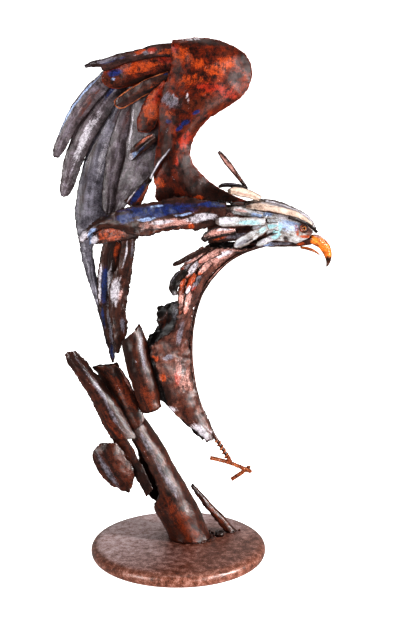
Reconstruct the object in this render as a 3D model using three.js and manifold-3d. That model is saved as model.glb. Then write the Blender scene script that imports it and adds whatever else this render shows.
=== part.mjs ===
// A welded scrap-metal eagle on a round steel base: bent, torn and hand-painted sheet and pipe.
// Millimetres, +Z up. The origin is the centre of the base's underside, +X is where the beak points,
// and -Y is the near side, on which the painted feathers lie.
import * as THREE from "three";
import { mergeVertices } from "three/addons/utils/BufferGeometryUtils.js";
import Module from "manifold-3d";

const wasm = await Module();
wasm.setup();

// Driving dimensions.
const BASE_RADIUS = 125;
const BASE_THICK = 21;
const BASE_LIP = 4; // width of the step where the rounded rim meets the flat top
const SHEET = 2; // gauge of the feather and body sheet
const PIPE_WALL = 3; // gauge of the torn pipe that makes the stump
const KEEL_ROD = 3; // radius of the rod rolled into the breast edge
const TOE_ROD = 2.1; // radius of the claw's rods
const GAP = 0.3; // clearance between a piece and what it is welded to
const HALF_TURN = Math.PI;
const NEAR = [0, -1, 0];
const FAR = [0, 1, 0];

// Finishes: colour, roughness, metalness.
const FINISH = {
  rust: ["#6b3524", 0.6, 0.6],
  stump: ["#4f2f25", 0.55, 0.6],
  orange: ["#a83c17", 0.4, 0.3],
  maroon: ["#552019", 0.4, 0.4],
  steel: ["#77727c", 0.35, 0.7],
  blue: ["#1f3f7c", 0.35, 0.3],
  white: ["#c9c6cc", 0.4, 0.2],
  dark: ["#33201b", 0.5, 0.5],
  beak: ["#c8641f", 0.35, 0.2],
  eye: ["#d08a2a", 0.15, 0.1],
};

const eagle = new THREE.Group();
const vector = (point) => new THREE.Vector3(...point);
const curve = (points) => new THREE.CatmullRomCurve3(points.map(vector), false, "catmullrom", 0.5);
const polyline = (points) => {
  const path = new THREE.CurvePath();
  points.slice(1).forEach((p, i) => path.add(new THREE.LineCurve3(vector(points[i]), vector(p))));
  path.getPoint = (t) => {
    const place = Math.min(t * path.curves.length, path.curves.length - 1e-9);
    return path.curves[Math.floor(place)].getPoint(place % 1);
  };
  return path;
};

// A number that varies along a piece: a single value, or values spread evenly from start to end.
function along(values, t) {
  if (!Array.isArray(values)) return values;
  return curve(values.map((v) => [v, 0, 0])).getPoint(t).x;
}

// A repeatable value from -1 to 1 for step i, used for torn edges.
function rough(i, seed) {
  const value = Math.sin(i * 12.9898 + seed * 78.233) * 43758.5453;
  return 2 * (value - Math.floor(value)) - 1;
}

function add(name, geometry, finish) {
  const [color, roughness, metalness] = FINISH[finish];
  const material = new THREE.MeshStandardMaterial({ color, roughness, metalness });
  const mesh = new THREE.Mesh(geometry, material);
  mesh.name = name;
  eagle.add(mesh);
}

// Gives a grid of points a wall: one skin half the gauge in front of the grid and one behind it.
function thicken(grid, gauge) {
  const rows = grid.length;
  const cols = grid[0].length;
  const at = (r, c) => grid[Math.min(Math.max(r, 0), rows - 1)][Math.min(Math.max(c, 0), cols - 1)];
  const positions = [];
  for (const side of [0.5, -0.5]) {
    for (let r = 0; r < rows; r++) {
      for (let c = 0; c < cols; c++) {
        const down = at(r + 1, c).clone().sub(at(r - 1, c));
        const across = at(r, c + 1).clone().sub(at(r, c - 1));
        const normal = across.cross(down).normalize();
        positions.push(...grid[r][c].clone().addScaledVector(normal, side * gauge));
      }
    }
  }
  const faces = [];
  const quad = (a, b, c, d) => faces.push(a, b, c, a, c, d);
  const front = (r, c) => r * cols + c;
  const back = (r, c) => rows * cols + front(r, c);
  for (let r = 0; r + 1 < rows; r++) {
    for (let c = 0; c + 1 < cols; c++) {
      quad(front(r, c), front(r, c + 1), front(r + 1, c + 1), front(r + 1, c));
      quad(back(r, c), back(r + 1, c), back(r + 1, c + 1), back(r, c + 1));
    }
    quad(front(r, 0), front(r + 1, 0), back(r + 1, 0), back(r, 0));
    quad(front(r, cols - 1), back(r, cols - 1), back(r + 1, cols - 1), front(r + 1, cols - 1));
  }
  for (let c = 0; c + 1 < cols; c++) {
    quad(front(0, c), back(0, c), back(0, c + 1), front(0, c + 1));
    quad(front(rows - 1, c), front(rows - 1, c + 1), back(rows - 1, c + 1), back(rows - 1, c));
  }
  const geometry = new THREE.BufferGeometry();
  geometry.setAttribute("position", new THREE.Float32BufferAttribute(positions, 3));
  geometry.setIndex(faces);
  return toGeometry(toSolid(geometry));
}

function toSolid(geometry) {
  const bare = geometry.clone();
  bare.deleteAttribute("normal");
  bare.deleteAttribute("uv");
  const merged = mergeVertices(bare, 1e-3);
  const triVerts = new Uint32Array(merged.index.array);
  const vertProperties = merged.attributes.position.array;
  const mesh = () => new wasm.Mesh({ numProp: 3, vertProperties, triVerts });
  const solid = new wasm.Manifold(mesh());
  if (solid.volume() > 0) return solid;
  for (let i = 0; i < triVerts.length; i += 3) {
    [triVerts[i + 1], triVerts[i + 2]] = [triVerts[i + 2], triVerts[i + 1]];
  }
  return new wasm.Manifold(mesh());
}

function toGeometry(solid) {
  const mesh = solid.getMesh();
  const geometry = new THREE.BufferGeometry();
  geometry.setAttribute("position", new THREE.Float32BufferAttribute(mesh.vertProperties, 3));
  geometry.setIndex(new THREE.BufferAttribute(mesh.triVerts, 1));
  geometry.computeVertexNormals();
  return geometry;
}

// Cuts away what would reach below the height z, so that a leaning piece stands flat on the base.
function cutBelow(geometry, z) {
  const box = new THREE.BoxGeometry(400, 400, 200).translate(0, 0, z - 100);
  return toGeometry(toSolid(geometry).subtract(toSolid(box)));
}

// A point on the arc from a to b that rises by height towards the bulge direction.
function arcPoint(a, b, bulge, height, s) {
  const chord = b.clone().sub(a);
  if (Math.abs(height) < 0.01) return a.clone().addScaledVector(chord, s);
  const half = chord.length() / 2;
  const spread = 2 * Math.atan(height / half);
  const radius = half / Math.sin(spread);
  const angle = spread * (2 * s - 1);
  const middle = a.clone().add(b).multiplyScalar(0.5);
  middle.addScaledVector(chord.normalize(), radius * Math.sin(angle));
  return middle.addScaledVector(bulge, radius * (Math.cos(angle) - Math.cos(spread)));
}

// A sheet between two edge curves. crown is how far its middle stands out towards face, torn and tornA
// are how far its b and a edges wander in, and sharp keeps the corners of the edges.
function plate(name, a, b, finish, options = {}) {
  const { rows = 10, cols = 4, crown = 0, torn = 0, tornA = 0, seed = 1 } = options;
  const { face = NEAR, sharp = false, gauge = SHEET } = options;
  const edgeA = sharp ? polyline(a) : curve(a);
  const edgeB = sharp ? polyline(b) : curve(b);
  const grid = [];
  for (let r = 0; r <= rows; r++) {
    const t = r / rows;
    const start = edgeA.getPoint(t);
    const end = edgeB.getPoint(t);
    const width = start.distanceTo(end);
    const inB = Math.min(torn * (0.5 + 0.5 * rough(r, seed)), width / 3) / width;
    const inA = Math.min(tornA * (0.5 + 0.5 * rough(r, seed + 9)), width / 3) / width;
    const chord = end.clone().sub(start).normalize();
    const bulge = vector(face).addScaledVector(chord, -vector(face).dot(chord)).normalize();
    const line = [];
    for (let c = 0; c <= cols; c++) {
      const s = inA + (1 - inA - inB) * (c / cols);
      line.push(arcPoint(start, end, bulge, along(crown, t), s));
    }
    grid.push(line);
  }
  add(name, thicken(grid, gauge), finish);
}

// A feather or strip: a sheet centred on a spine, with its widths spread evenly along the spine.
function feather(name, spine, widths, finish, options = {}) {
  const { rows = 7, cols = 2, crown = 2, face = NEAR } = options;
  const path = curve(spine);
  const a = [];
  const b = [];
  for (let r = 0; r <= rows; r++) {
    const t = r / rows;
    const middle = path.getPoint(t);
    const tangent = path.getTangent(t);
    const side = vector(face).cross(tangent).normalize();
    const half = Math.max(along(widths, t), 1.2) / 2;
    a.push(middle.clone().addScaledVector(side, -half).toArray());
    b.push(middle.clone().addScaledVector(side, half).toArray());
  }
  plate(name, a, b, finish, { ...options, rows, cols, crown, face, sharp: true });
}

// The grid of a torn pipe: an arc about an axis, open between its two edge angles. Angle 0 is to the
// right, 90 towards the near side and 180 to the left.
function pipeGrid(axis, radii, from, to, { rows = 10, cols = 10, torn = 0, seed = 1 } = {}) {
  const path = curve(axis);
  const grid = [];
  for (let r = 0; r <= rows; r++) {
    const t = r / rows;
    const tangent = path.getTangent(t);
    const right = new THREE.Vector3(1, 0, 0).addScaledVector(tangent, -tangent.x).normalize();
    const near = right.clone().cross(tangent);
    if (near.y > 0) near.negate();
    const low = along(from, t) + torn * rough(r, seed);
    const high = along(to, t) + torn * rough(r, seed + 5);
    const line = [];
    for (let c = 0; c <= cols; c++) {
      const angle = THREE.MathUtils.degToRad(low + ((high - low) * c) / cols);
      const out = right.clone().multiplyScalar(Math.cos(angle)).addScaledVector(near, Math.sin(angle));
      line.push(path.getPoint(t).addScaledVector(out, along(radii, t)));
    }
    grid.push(line);
  }
  return grid;
}

// A round rod along a curve.
function rod(name, points, radius, finish, steps = 8, sides = 8) {
  const section = new THREE.Shape();
  for (let i = 0; i < sides; i++) {
    const angle = (2 * HALF_TURN * i) / sides;
    const [x, y] = [radius * Math.cos(angle), radius * Math.sin(angle)];
    if (i === 0) section.moveTo(x, y);
    else section.lineTo(x, y);
  }
  const extrudePath = curve(points);
  const settings = { steps, bevelEnabled: false, extrudePath };
  add(name, toGeometry(toSolid(new THREE.ExtrudeGeometry(section, settings))), finish);
}

// A solid horn: oval sections along a spine, with heights in the plane of the spine and half the
// thickness to each side of it. Both ends are closed by a cap.
function horn(name, spine, heights, thicks, finish, { rows = 8, sides = 10 } = {}) {
  const path = curve(spine);
  const positions = [];
  for (let r = 0; r <= rows; r++) {
    const t = r / rows;
    const middle = path.getPoint(t);
    const up = new THREE.Vector3(0, 1, 0).cross(path.getTangent(t)).normalize();
    for (let i = 0; i < sides; i++) {
      const angle = (2 * HALF_TURN * i) / sides;
      const point = middle.clone().addScaledVector(up, (along(heights, t) / 2) * Math.cos(angle));
      point.y += (along(thicks, t) / 2) * Math.sin(angle);
      positions.push(...point);
    }
  }
  positions.push(...path.getPoint(0), ...path.getPoint(1));
  const faces = [];
  const first = (rows + 1) * sides;
  for (let i = 0; i < sides; i++) {
    const next = (i + 1) % sides;
    for (let r = 0; r < rows; r++) {
      const [p, q] = [r * sides, (r + 1) * sides];
      faces.push(p + i, p + next, q + next, p + i, q + next, q + i);
    }
    faces.push(first, next, i, first + 1, rows * sides + i, rows * sides + next);
  }
  const geometry = new THREE.BufferGeometry();
  geometry.setAttribute("position", new THREE.Float32BufferAttribute(positions, 3));
  geometry.setIndex(faces);
  add(name, toGeometry(toSolid(geometry)), finish);
}

// The same points on the far side of the eagle's middle plane.
const mirrored = (points) => points.map(([x, y, z]) => [x, -y, z]);

// The turned disc: flat underside, full round rim, and a small step up to the flat top.
function base() {
  const rim = 8;
  const profile = [new THREE.Vector2(0, 0)];
  const quarter = (x, z, from) => {
    for (let angle = from; angle <= from + 90; angle += 30) {
      const turn = THREE.MathUtils.degToRad(angle);
      profile.push(new THREE.Vector2(x + rim * Math.cos(turn), z + rim * Math.sin(turn)));
    }
  };
  quarter(BASE_RADIUS - rim, rim, -90);
  quarter(BASE_RADIUS - rim, BASE_THICK - 2 - rim, 0);
  profile.push(new THREE.Vector2(BASE_RADIUS - rim - BASE_LIP, BASE_THICK));
  profile.push(new THREE.Vector2(0, BASE_THICK));
  const disc = new THREE.LatheGeometry(profile, 36).rotateX(HALF_TURN / 2);
  add("base_disc", toGeometry(toSolid(disc)), "rust");
}

// The stump: a leaning pipe, torn open on its left, with gutters, plates and strips welded to it.
function stump() {
  const foot = BASE_THICK + GAP;
  const trunk = pipeGrid(
    [[24, 14, 6], [0, 13, 59], [-22, 12, 102], [-40, 11, 141], [-59, 10, 177], [-68, 10, 195]],
    [27, 29, 27.5, 25, 22, 19],
    [-62, -70, -137, -168, -162, -130, -124, -108, -90],
    [240, 232, 211, 108, 98, 96, 98, 104, 110],
    { rows: 18, cols: 9, torn: 3, seed: 3 },
  );
  add("stump_main_pipe", cutBelow(thicken(trunk, PIPE_WALL), foot), "stump");
  plate("stump_left_gutter",
    [[-153, -14, 303], [-154, -14.5, 293], [-132, -16, 258], [-113, -17, 221], [-94, -16, 181]],
    [[-141, -13, 304], [-121, -12, 283], [-99, -13, 253], [-77, -14, 219], [-58, -14.5, 180]],
    "stump", { rows: 13, cols: 5, crown: [3, 9, 12, 12, 10], torn: 2, tornA: 2, seed: 2, gauge: PIPE_WALL });
  plate("stump_middle_sheet",
    [[-119, 2, 279], [-99, 0, 249], [-80, -6, 221], [-62, -14, 190]],
    [[-83, 2, 284], [-67, 0, 256], [-54, -7, 229], [-46, -13, 203]],
    "stump", { rows: 10, cols: 4, crown: 6, torn: 2, seed: 4, gauge: PIPE_WALL });
  plate("stump_short_pipe",
    [[-76, -22, 320], [-69, -24, 284], [-60, -24, 254], [-48, -22, 220]],
    [[-52, -20, 344], [-42, -20, 314], [-31, -20, 267], [-23, -20, 227]],
    "stump", { rows: 8, cols: 6, crown: [11, 14, 14, 11], torn: 1, seed: 6, gauge: PIPE_WALL });
  plate("stump_lobe_plate",
    [[-107, -20, 174], [-118, -20, 160], [-113, -20, 135], [-97, -20, 115], [-68, -20, 100]],
    [[-86, -20, 174], [-73, -20, 156], [-64, -20, 141], [-60, -20, 128], [-65, -20, 110]],
    "stump", { rows: 9, cols: 4, crown: [3, 8, 9, 7, 2], torn: 2, seed: 5 });
  plate("stump_strap",
    [[-98, -7, 189], [-84, -11, 160], [-70, -14, 136], [-57, -15, 116], [-44, -16, 94]],
    [[-74, -7, 186], [-63, -11, 165], [-54, -15, 146], [-44, -16, 127], [-35, -17, 108]],
    "dark", { rows: 7, cols: 2, crown: 2, torn: 2, seed: 8 });
  const prop = pipeGrid(
    [[18, 34, 92], [32, 34, 73], [50, 34, 51], [67, 34, 32], [80, 36, 12]],
    [3, 5, 6, 6.5, 8], [-60, -70, -80], [110, 125, 150],
    { rows: 9, cols: 5, torn: 5, seed: 7 },
  );
  add("stump_prop_gutter", cutBelow(thicken(prop, SHEET), foot), "stump");
  const ring = [[3.4, 0], [6.4, 0], [6.4, 6], [3.4, 6], [3.4, 0]].map((p) => new THREE.Vector2(...p));
  const collar = new THREE.LatheGeometry(ring, 14).rotateX(HALF_TURN / 2).translate(59, 17, foot);
  add("stump_foot_ring", toGeometry(toSolid(collar)), "dark");
}

// The hollow body: two flanks that meet at the rod of the breast edge, open at the back.
function body() {
  rod("breast_edge_rod", [[118, 0, 450], [84, 0, 438], [59, 0, 419], [36, 0, 389], [24, 0, 357],
    [18, 0, 309], [23, 0, 251], [36, 0, 209], [55, 0, 170], [65, 0, 155], [72, 0, 144]],
    KEEL_ROD, "maroon", 22);
  const keel = [[114, -7, 449], [83, -5, 441], [57, -5, 423], [34, -5, 391], [21, -5, 359],
    [15, -5, 318], [17, -5, 282], [27, -5, 234], [51, -5, 176]];
  const near = [[44, -20, 450], [15, -24, 435], [1, -27, 418], [1, -29, 377], [-11, -30, 334],
    [-40, -30, 314], [-28, -28, 278], [-15, -20, 229], [39, -7, 172]];
  const far = [[50, 20, 452], [17, 24, 427], [9, 27, 398], [3, 29, 362], [-28, 30, 355],
    [-31, 30, 323], [-46, 30, 313], [-41, 24, 240], [34, 7, 169]];
  const flank = { rows: 18, cols: 5, crown: 6 };
  plate("flank_near", keel, near, "maroon", { ...flank, torn: 3, seed: 11 });
  plate("flank_far", mirrored(keel), far, "dark", { ...flank, torn: 3, seed: 12, face: FAR, sharp: true });
  const top = [[39, -5, 505], [65, -3, 504], [92, -2, 504], [116, -1.6, 508]];
  const throat = [[42, -19, 457], [65, -17, 457], [91, -12, 459], [115, -7, 459]];
  const neck = { rows: 5, cols: 4, crown: [6, 9, 13, 17] };
  plate("neck_near", top, throat, "maroon", neck);
  plate("neck_far", mirrored(top), mirrored(throat), "maroon", { ...neck, face: FAR });
}

// The head: two shells from the nape to the bill, with crown plates, brow ridges, eyes and a hooked bill.
function head() {
  const sides = [["near", NEAR, (points) => points], ["far", FAR, mirrored]];
  for (const [side, face, place] of sides) {
    plate("head_" + side,
      place([[119, -0.6, 512], [136, -0.6, 508], [157, -0.6, 501], [176, -0.6, 491], [187, -0.6, 476]]),
      place([[121, -0.6, 455], [136, -0.6, 452], [151, -0.6, 451], [166, -0.6, 453], [177, -0.6, 460]]),
      "white", { rows: 8, cols: 7, crown: [21, 22, 20, 15, 7], face });
    plate("crown_plate_" + side,
      place([[93, -14, 507], [114, -13, 511], [139, -14, 507], [163, -13, 497], [182, -9, 482]]),
      place([[91, -17, 503], [114, -24, 500], [138, -26, 497], [163, -23, 490], [182, -13, 478]]),
      "white", { rows: 8, cols: 2, crown: 1, face });
    feather("brow_" + side, place([[149, -28, 493], [165, -25, 488], [179, -19, 480], [189, -12, 470]]),
      [2.7, 4, 4, 3], "dark", { rows: 6, crown: 0.6, face });
    const eye = new THREE.SphereGeometry(3.2, 10, 6).scale(1, 0.6, 1);
    const [center] = place([[171, -21.5, 477]]);
    add("eye_" + side, toGeometry(toSolid(eye)).translate(...center), "eye");
  }
  horn("beak_upper", [[179, 0, 458], [186, 0, 458], [195, 0, 454], [202, 0, 446], [206, 0, 436],
    [206, 0, 427], [204, 0, 420]], [9, 17, 17, 14, 11, 6.5, 1.8], [8, 16, 15, 12, 9, 5.5, 2], "beak",
    { rows: 9, sides: 8 });
  horn("beak_lower", [[168, 0, 447], [182, 0, 444], [194, 0, 437]], [3.5, 4.5, 2], [12, 10, 3], "beak",
    { rows: 5, sides: 8 });
}

// The crest and the overlapping feathers of the crown, nape and neck.
function neckFeathers() {
  feather("crest_spike", [[56, 0, 578], [66, 0, 565], [79, 0, 548], [93, 0, 530]], [3.5, 7.5, 5.5, 3], "dark",
    { crown: 1 });
  feather("crest_dark_feather", [[56, -9, 531], [63, -9, 534], [75, -9, 534], [95, -8, 528]],
    [2.7, 5.4, 5.4, 4], "dark", { crown: 1 });
  feather("crest_pale_feather", [[68, -14, 527], [77, -14, 527], [93, -14, 524], [112, -13, 516]],
    [6, 11, 12, 8], "white");
  const rows = {
    nape_feather: [[[73, -24, 504], [80, -25, 502], [98, -28, 499], [114, -31, 495]], [6, 10.7, 10.7, 8]],
    neck_long_feather: [[[52, -40, 489], [63, -40, 489], [84, -38, 489], [118, -33, 488]], [6, 12.7, 12.7, 9]],
    neck_low_feather: [[[77, -36, 455], [86, -37, 461], [100, -37, 470], [122, -33, 480]], [8, 12.7, 12.7, 7]],
  };
  for (const [name, [spine, widths]] of Object.entries(rows)) {
    feather(name + "_near", spine, widths, "white");
    feather(name + "_far", mirrored(spine), widths, "white", { face: FAR });
  }
  feather("neck_pink_feather", [[34, -40, 464], [42, -41, 472], [56, -41, 475], [79, -34, 475]],
    [6.7, 12, 13, 8], "orange");
  feather("flank_dark_feather", [[-5, -38, 430], [18, -38, 442], [44, -37, 453]], [4, 6.7, 5.3], "dark");
  feather("flank_oval_feather", [[-3, -42, 388], [-4, -42, 401], [1, -41, 413], [14, -41, 422]],
    [5.4, 12, 13.4, 6.7], "dark");
}

// The near side's folded limb: a strip along the back to the bent wrist, and the tail under it.
function back() {
  plate("back_strip",
    [[66, -18, 510], [38, -22, 515], [4, -24, 521], [-36, -22, 511], [-75, -12, 501], [-105, 0, 486],
      [-127, 8, 469], [-135, 12, 457]],
    [[66, -33, 489], [38, -36, 478], [4, -36, 477], [-29, -32, 469], [-51, -26, 465], [-88, -8, 476],
      [-113, 3, 466], [-129, 11, 451]],
    "blue", { rows: 16, cols: 4, crown: 4, torn: 3, seed: 21 });
  plate("wrist_plate", [[-50, -14, 491], [-71, -3, 488], [-98, 7, 482], [-120, 15, 468]],
    [[-53, -14, 461], [-81, -3, 455], [-100, 7, 450], [-122, 15, 448]],
    "orange", { rows: 6, cols: 3, crown: 2, torn: 1, seed: 22 });
  feather("tail_left_plate", [[-88, 11, 455], [-92, 10, 421], [-96, 7, 386], [-93, 5, 344], [-89, 4.5, 283]],
    [24.6, 30, 27.5, 22, 3.5], "maroon", { rows: 12, cols: 3, crown: 2, torn: 2, seed: 23 });
  feather("tail_right_plate", [[-65, 2, 462], [-70, 1, 427], [-79, 0, 392], [-83, -1, 360],
    [-79, -3, 332], [-85, -5, 299]], [20, 19, 27, 24, 20, 7], "dark",
    { rows: 12, cols: 3, crown: 2, torn: 2, seed: 24 });
}

// The raised wing: a bulging shoulder plate, coverts tucked behind its edge, and long primaries.
function wing() {
  plate("wing_shoulder",
    [[96, 4, 510], [58, 6, 526], [31, 6, 548], [18, 6, 572], [23, 10, 596], [44, 16, 621],
      [85, 26, 647], [102, 32, 676], [90, 34, 706], [58, 33, 722], [18, 29, 725], [-6, 27, 722]],
    [[-20, -2, 507], [-30, -2, 515], [-28, -1, 529], [-32, 2, 544], [-28, 7, 579], [-23, 10, 601],
      [-25, 14, 632], [-19, 18, 661], [-9, 20, 679], [-7, 22, 690], [-7, 24, 697], [-7, 25, 705]],
    "orange", { rows: 22, cols: 5, crown: [3, 6, 9, 12, 13, 14, 14, 10, 4] });
  plate("wing_top_feather",
    [[-126, 42, 689], [-114, 41, 694], [-104, 40, 698], [-98, 40, 699], [-64, 36, 708],
      [-30, 32, 717], [-8, 29, 721]],
    [[-123, 42, 687], [-111, 41, 688], [-103, 40, 688], [-100, 40, 682], [-64, 36, 694],
      [-30, 32, 701], [-8, 29, 702]], "maroon", { rows: 12, cols: 2, crown: 2, sharp: true });
  feather("wing_upper_covert", [[-102, 44, 670], [-77, 42, 675], [-43, 37, 685], [-9, 33, 692]],
    [22, 33, 33, 23], "orange");
  feather("wing_rimmed_covert", [[-82, 36, 637], [-77, 35, 640], [-64, 33, 648], [-37, 30, 663], [-9, 28, 677]],
    [9.5, 15, 18.3, 18.9, 13.5], "dark");
  plate("wing_lower_covert", [[-15, 23, 671], [-37, 26, 652], [-49, 27, 627], [-59, 27, 604]],
    [[-12, 22.5, 662], [-19, 21, 647], [-20, 19, 623], [-37, 21, 598]], "orange",
    { rows: 7, cols: 2, crown: 2, torn: 2, seed: 33 });
  feather("wing_small_feather", [[-64, 20, 563], [-56, 19, 576], [-42, 16, 587], [-29, 13, 596]],
    [6.8, 15, 16, 11], "blue");
  feather("wing_primary_1", [[-85, 49, 682], [-118, 49, 648], [-141, 50, 619], [-159, 50, 584], [-168, 51, 564]],
    [19, 24.7, 20.7, 16.7, 9.8], "steel", { rows: 9, cols: 3, crown: 3 });
  feather("wing_primary_2", [[-69, 54, 680], [-102, 55, 634], [-123, 55, 605], [-136, 55, 577],
    [-147, 54, 548], [-156, 53, 518], [-160, 53, 509]], [22, 27.6, 30.5, 27.9, 23.8, 15.4, 9.8], "steel",
    { rows: 11, cols: 3, crown: 3 });
  feather("wing_primary_3", [[-48, 60, 674], [-90, 61, 611], [-107, 60, 560], [-118, 50, 505], [-121, 42, 474],
    [-126, 34, 448], [-125, 29, 429], [-116, 20, 393], [-105, 13, 353], [-93, 11, 298], [-91, 10, 287]],
    [24.8, 33.3, 40.5, 46.1, 40.3, 22.2, 15.2, 12.5, 8.3, 5.6, 4.2], "steel", { rows: 18, cols: 3, crown: 4 });
  feather("wing_primary_4", [[-50, 45, 668], [-80, 42, 581], [-89, 38, 534], [-95, 30, 488]],
    [24.7, 27.7, 23.6, 16.6], "steel", { rows: 9, cols: 3, crown: 3 });
  plate("wing_primary_5", [[-60, 39, 656], [-68, 36, 590], [-80, 30, 532], [-88, 23, 490]],
    [[-10, 40, 658], [-17, 25, 600], [-33, 20, 546], [-77, 17, 495]], "steel",
    { rows: 9, cols: 3, crown: 3 });
  feather("wing_brace_feather", [[-9, -11, 582], [-22, -8, 566], [-35, -4, 543]], [2.7, 4, 3.4], "steel",
    { rows: 5, crown: 0.6 });
  feather("wing_brace_strip", [[-37, 14, 540], [-45, 10, 527], [-63, 4, 502]], [4, 12.2, 25], "blue",
    { rows: 6, cols: 2, crown: 2 });
}

// The hanging claw: a toe bar and a cross bar at the end of the leg rod.
function claw() {
  rod("claw_toe_bar", [[46, -6, 147], [72, -5.5, 140], [103, -5, 126]], TOE_ROD, "rust", 5, 7);
  rod("claw_cross_bar", [[76, 4, 112], [87, 2, 120], [101, 0, 132]], TOE_ROD, "rust", 4, 7);
}

base();
stump();
body();
head();
neckFeathers();
back();
wing();
claw();

export default eagle;
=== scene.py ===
# %% [markdown]
# # A welded scrap-metal eagle
# The sculptor cut feathers, flanks and a head out of thin steel sheet with a torch, hammered them to shape,
# and welded them to a stump of torn pipe on a round plate. The steel was then stained, washed with thin paint
# and sealed with gloss lacquer. This lesson takes the plain construction model as its frame and gives each of
# its pieces the shape and finish of the real metal.

import math

import bpy
import numpy as np
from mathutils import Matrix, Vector, kdtree, noise


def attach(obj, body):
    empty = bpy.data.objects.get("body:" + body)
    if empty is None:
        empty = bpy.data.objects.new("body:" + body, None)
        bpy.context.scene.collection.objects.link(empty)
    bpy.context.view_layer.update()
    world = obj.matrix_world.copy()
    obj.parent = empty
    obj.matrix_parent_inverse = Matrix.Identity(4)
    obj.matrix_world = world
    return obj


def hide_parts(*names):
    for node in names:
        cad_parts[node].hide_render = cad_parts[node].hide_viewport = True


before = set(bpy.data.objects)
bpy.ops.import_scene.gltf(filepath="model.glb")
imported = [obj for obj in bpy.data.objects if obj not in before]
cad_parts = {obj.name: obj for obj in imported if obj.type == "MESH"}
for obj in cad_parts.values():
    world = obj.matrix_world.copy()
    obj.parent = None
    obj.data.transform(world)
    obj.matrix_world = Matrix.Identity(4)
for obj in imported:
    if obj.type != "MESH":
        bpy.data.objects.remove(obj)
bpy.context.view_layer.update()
scene = bpy.context.scene
MM = 0.001
NOISE_SEED = 5
noise.seed_set(NOISE_SEED)

# %% [markdown]
# ## Studio
# A sculpture like this is shown on a white sweep. The floor is a plain pale plane. A large soft lamp on the
# right puts the long highlights on the pipes and on the shoulder. Weaker ones on the left, low down and
# overhead open the shadows, and a pale sky fills the rest. The camera has a long lens and looks down a
# little.

# %% Camera, lamps and floor
CAMERA_PLACE = (0.033, -1.955, 0.819)
CAMERA_TILT = math.radians(90 - 13.2)


def lamp(name, place, aim, size, power):
    """A white soft lamp that points at aim. size is its width and height in metres, and power is in watts."""
    bpy.ops.object.light_add(type="AREA", location=place)
    light = bpy.context.object
    light.name = name
    light.data.shape = "RECTANGLE"
    light.data.size, light.data.size_y = size
    light.data.energy = power
    light.rotation_euler = (Vector(aim) - Vector(place)).to_track_quat("-Z", "Y").to_euler()


bpy.ops.object.camera_add(location=CAMERA_PLACE, rotation=(CAMERA_TILT, 0, 0))
scene.camera = bpy.context.object
scene.camera.data.lens = 85
scene.camera.data.sensor_width = 36
MIDDLE, FOOT_OF_STUMP = (0, 0, 0.4), (0, 0, 0.2)
lamp("right_softbox", (2.1, -0.9, 0.95), MIDDLE, (0.3, 1.0), 62)
lamp("left_softbox", (-1.9, -1.7, 0.8), MIDDLE, (0.4, 1.4), 32)
lamp("low_softbox", (1.5, -1.7, 0.3), FOOT_OF_STUMP, (0.3, 0.8), 14)
lamp("top_softbox", (0.2, 0.4, 2.6), MIDDLE, (1.2, 1.2), 14)
scene.world = bpy.data.worlds.new("pale_sky")
scene.world.use_nodes = True
sky = scene.world.node_tree.nodes["Background"]
sky.inputs["Color"].default_value = (1, 1, 1, 1)
sky.inputs["Strength"].default_value = 0.25
scene.view_settings.view_transform = "Standard"
scene.view_settings.look = "High Contrast"
bpy.ops.mesh.primitive_plane_add(size=120, location=(0, 30, 0))
floor = bpy.context.object
floor.name = "studio_floor"
floor.visible_glossy = False

# %% [markdown]
# ## Small helpers for materials
# A material here is built from nodes. One function adds a node, sets its values and links its inputs, and one
# turns a hex colour as a painter would write it into the linear numbers that the renderer adds up.

# %% Node and colour helpers


def rgb(hex_colour):
    """A linear colour from an sRGB hex colour."""
    parts = [int(hex_colour[i : i + 2], 16) / 255 for i in (1, 3, 5)]
    return [c / 12.92 if c <= 0.04045 else ((c + 0.055) / 1.055) ** 2.4 for c in parts] + [1.0]


def node(tree, kind, inputs=None, **settings):
    """Adds a node of this kind. An input that is another node's output is linked, any other is a value."""
    made = tree.nodes.new("ShaderNode" + kind)
    for key, value in settings.items():
        setattr(made, key, value)
    for key, value in (inputs or {}).items():
        if isinstance(value, bpy.types.NodeSocket):
            tree.links.new(value, made.inputs[key])
        else:
            made.inputs[key].default_value = value
    return made


def ramp(tree, factor, stops):
    """A colour ramp: stops are (position, hex colour)."""
    made = node(tree, "ValToRGB", {"Fac": factor})
    elements = made.color_ramp.elements
    while len(elements) < len(stops):
        elements.new(0.5)
    for element, (position, colour) in zip(elements, stops):
        element.position = position
        element.color = rgb(colour)
    return made.outputs["Color"]


def mix(tree, factor, first, second, blend="MIX"):
    """Second over first by factor, for colours."""
    made = tree.nodes.new("ShaderNodeMix")
    made.data_type = "RGBA"
    made.blend_type = blend
    for socket, value in ((made.inputs[0], factor), (made.inputs[6], first), (made.inputs[7], second)):
        if isinstance(value, bpy.types.NodeSocket):
            tree.links.new(value, socket)
        else:
            socket.default_value = value
    return made.outputs[2]


def maths(tree, operation, first, second=0.0, clamp=False):
    """A Math node's result."""
    made = node(tree, "Math", {0: first, 1: second}, operation=operation, use_clamp=clamp)
    return made.outputs[0]


def mix_numbers(tree, factor, first, second):
    """First and second in the shares 1 - factor and factor."""
    kept = maths(tree, "MULTIPLY", first, 1 - factor)
    return maths(tree, "ADD", kept, maths(tree, "MULTIPLY", second, factor))


def grain(tree, vector, size_mm, detail, roughness=0.5):
    """Noise whose blotches are about size_mm across."""
    settings = {"Vector": vector, "Scale": 1 / (size_mm * MM), "Detail": detail, "Roughness": roughness}
    return node(tree, "TexNoise", settings).outputs["Fac"]


def attribute(tree, name):
    """A number that the mesh carries at each of its points."""
    return node(tree, "Attribute", attribute_name=name).outputs["Fac"]


def new_material(name):
    """A new material, with its node tree and its shader."""
    material = bpy.data.materials.new(name)
    material.use_nodes = True
    return material, material.node_tree, material.node_tree.nodes["Principled BSDF"]


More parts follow.
